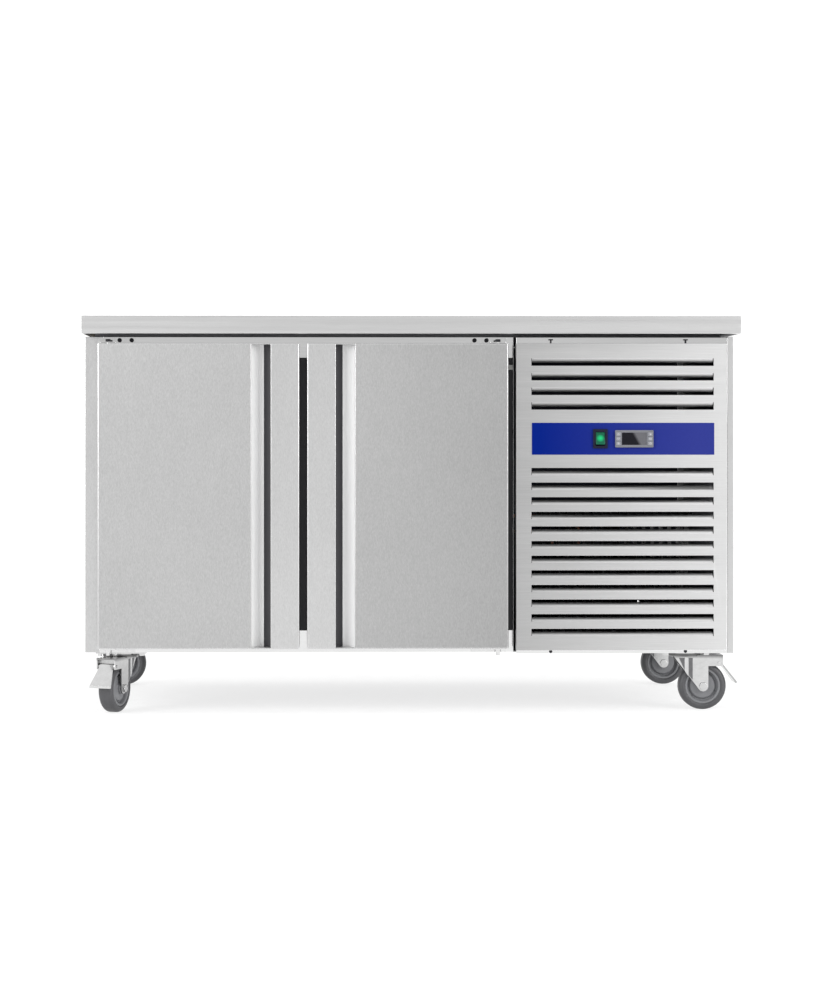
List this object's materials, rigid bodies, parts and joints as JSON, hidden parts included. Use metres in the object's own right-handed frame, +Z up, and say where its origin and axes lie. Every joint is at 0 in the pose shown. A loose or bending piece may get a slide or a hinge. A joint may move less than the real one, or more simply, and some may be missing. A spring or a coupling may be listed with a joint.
{
  "type": "undercounter refrigerator",
  "caption": "Low refrigerated counter on swivel casters, with hinged doors with full-height finger grooves, a louvred compressor panel and a flat stainless worktop.",
  "frame": {"origin": "on the floor, under the middle of the worktop", "axes": "+X from left to right along the front, +Y from the front to the back, +Z up"},
  "size_m": [1.3754, 0.7, 0.823],
  "materials": {
    "panel_steel": "brushed stainless steel",
    "back_steel": "plain galvanised sheet",
    "liner_steel": "satin stainless steel",
    "dark_plastic": "matt dark plastic",
    "foam": "rigid foam",
    "coated_wire": "plastic-coated wire",
    "inner_plastic": "satin",
    "gasket_rubber": "soft matt",
    "fin_metal": "bare fins",
    "black_steel": "black enamel",
    "copper": "bare copper",
    "zinc_steel": "bright zinc plating",
    "wheel_rubber": "satin grey rubber",
    "fascia_blue": "gloss film",
    "rocker_green": "lit translucent plastic",
    "controller_grey": "fine-textured plastic"
  },
  "bodies": {
    "cabinet": {"worktop": "panel_steel", "left_side_panel": "panel_steel", "right_side_panel": "panel_steel", "rear_panel": "back_steel", "base_panel": "back_steel", "front_frame": "panel_steel", "mullions": "dark_plastic", "insulation": "foam", "inner_liner": "liner_steel", "shelf_rails": "liner_steel", "wire_shelves": "coated_wire", "evaporator": "fin_metal", "evaporator_cover": "panel_steel", "compressor": "black_steel", "condenser_coil": "fin_metal", "condenser_fan_motor": "black_steel", "refrigerant_pipes": "copper", "drain_tray": "dark_plastic", "hinge_brackets": "zinc_steel", "grille_panel": "panel_steel", "fascia_strip": "fascia_blue", "switch_bezel": "dark_plastic", "controller_case": "controller_grey", "panel_screws": "zinc_steel", "cable_gland": "dark_plastic", "caster_plates": "zinc_steel", "caster_bolts": "zinc_steel"},
    "left_door": {"door_skin_left": "panel_steel", "door_foam_left": "foam", "door_inner_panel_left": "inner_plastic", "door_gasket_left": "gasket_rubber", "door_hinge_bushes_left": "dark_plastic"},
    "right_door": {"door_skin_right": "panel_steel", "door_foam_right": "foam", "door_inner_panel_right": "inner_plastic", "door_gasket_right": "gasket_rubber", "door_hinge_bushes_right": "dark_plastic"},
    "evaporator_fan": {"evaporator_fan_blade": "dark_plastic"},
    "condenser_fan": {"condenser_fan_blade": "dark_plastic"},
    "rocker": {"switch_rocker": "rocker_green"},
    "up_key": {"key_up": "controller_grey"},
    "down_key": {"key_down": "controller_grey"},
    "light_key": {"key_light": "controller_grey"},
    "defrost_key": {"key_defrost": "controller_grey"},
    "set_key": {"key_set": "controller_grey"},
    "power_key": {"key_power": "controller_grey"},
    "fork_front_left": {"caster_fork_front_left": "zinc_steel", "caster_axle_front_left": "zinc_steel"},
    "wheel_front_left": {"caster_wheel_front_left": "wheel_rubber"},
    "pedal_front_left": {"brake_pedal_front_left": "zinc_steel"},
    "fork_front_right": {"caster_fork_front_right": "zinc_steel", "caster_axle_front_right": "zinc_steel"},
    "wheel_front_right": {"caster_wheel_front_right": "wheel_rubber"},
    "pedal_front_right": {"brake_pedal_front_right": "zinc_steel"},
    "fork_rear_left": {"caster_fork_rear_left": "zinc_steel", "caster_axle_rear_left": "zinc_steel"},
    "wheel_rear_left": {"caster_wheel_rear_left": "wheel_rubber"},
    "fork_rear_right": {"caster_fork_rear_right": "zinc_steel", "caster_axle_rear_right": "zinc_steel"},
    "wheel_rear_right": {"caster_wheel_rear_right": "wheel_rubber"}
  },
  "joints": [
    {"name": "left_door_hinge", "type": "hinge", "parent": "cabinet", "child": "left_door", "pos_m": [-0.628, -0.313, 0.137], "axis": [0, 0, -1], "range_deg": [0, 100]},
    {"name": "right_door_hinge", "type": "hinge", "parent": "cabinet", "child": "right_door", "pos_m": [0.18, -0.313, 0.137], "axis": [0, 0, 1], "range_deg": [0, 100]},
    {"name": "evaporator_fan_spin", "type": "hinge", "parent": "cabinet", "child": "evaporator_fan", "pos_m": [0.101, 0.08, 0.648], "axis": [1, 0, 0], "continuous": true},
    {"name": "condenser_fan_spin", "type": "hinge", "parent": "cabinet", "child": "condenser_fan", "pos_m": [0.431, -0.171, 0.2915], "axis": [0, 1, 0], "continuous": true},
    {"name": "switch_rocker_tilt", "type": "hinge", "parent": "cabinet", "child": "rocker", "pos_m": [0.3895, -0.3395, 0.57], "axis": [1, 0, 0], "range_deg": [0, 20]},
    {"name": "up_key_press", "type": "slide", "parent": "cabinet", "child": "up_key", "axis": [0, 1, 0], "range_m": [0, 0.0006], "stiffness_N_per_m": 300},
    {"name": "down_key_press", "type": "slide", "parent": "cabinet", "child": "down_key", "axis": [0, 1, 0], "range_m": [0, 0.0006], "stiffness_N_per_m": 300},
    {"name": "light_key_press", "type": "slide", "parent": "cabinet", "child": "light_key", "axis": [0, 1, 0], "range_m": [0, 0.0006], "stiffness_N_per_m": 300},
    {"name": "defrost_key_press", "type": "slide", "parent": "cabinet", "child": "defrost_key", "axis": [0, 1, 0], "range_m": [0, 0.0006], "stiffness_N_per_m": 300},
    {"name": "set_key_press", "type": "slide", "parent": "cabinet", "child": "set_key", "axis": [0, 1, 0], "range_m": [0, 0.0006], "stiffness_N_per_m": 300},
    {"name": "power_key_press", "type": "slide", "parent": "cabinet", "child": "power_key", "axis": [0, 1, 0], "range_m": [0, 0.0006], "stiffness_N_per_m": 300},
    {"name": "front_left_caster_swivel", "type": "hinge", "parent": "cabinet", "child": "fork_front_left", "pos_m": [-0.604, -0.238, 0.112], "axis": [0, 0, 1], "continuous": true},
    {"name": "front_left_wheel_spin", "type": "hinge", "parent": "fork_front_left", "child": "wheel_front_left", "pos_m": [-0.61762, -0.27348, 0.05], "axis": [0.9336, -0.3584, 0], "continuous": true},
    {"name": "front_left_brake_pedal", "type": "hinge", "parent": "fork_front_left", "child": "pedal_front_left", "pos_m": [-0.62944, -0.30428, 0.098], "axis": [0.9336, -0.3584, 0], "range_deg": [0, 12]},
    {"name": "front_right_caster_swivel", "type": "hinge", "parent": "cabinet", "child": "fork_front_right", "pos_m": [0.578, -0.238, 0.112], "axis": [0, 0, 1], "continuous": true},
    {"name": "front_right_wheel_spin", "type": "hinge", "parent": "fork_front_right", "child": "wheel_front_right", "pos_m": [0.616, -0.238, 0.05], "axis": [0, 1, 0], "continuous": true},
    {"name": "front_right_brake_pedal", "type": "hinge", "parent": "fork_front_right", "child": "pedal_front_right", "pos_m": [0.649, -0.238, 0.098], "axis": [0, 1, 0], "range_deg": [0, 12]},
    {"name": "rear_left_caster_swivel", "type": "hinge", "parent": "cabinet", "child": "fork_rear_left", "pos_m": [-0.601, 0.265, 0.112], "axis": [0, 0, 1], "continuous": true},
    {"name": "rear_left_wheel_spin", "type": "hinge", "parent": "fork_rear_left", "child": "wheel_rear_left", "pos_m": [-0.639, 0.265, 0.05], "axis": [0, -1, 0], "continuous": true},
    {"name": "rear_right_caster_swivel", "type": "hinge", "parent": "cabinet", "child": "fork_rear_right", "pos_m": [0.57, 0.265, 0.112], "axis": [0, 0, 1], "continuous": true},
    {"name": "rear_right_wheel_spin", "type": "hinge", "parent": "fork_rear_right", "child": "wheel_rear_right", "pos_m": [0.608, 0.265, 0.05], "axis": [0, 1, 0], "continuous": true}
  ]
}
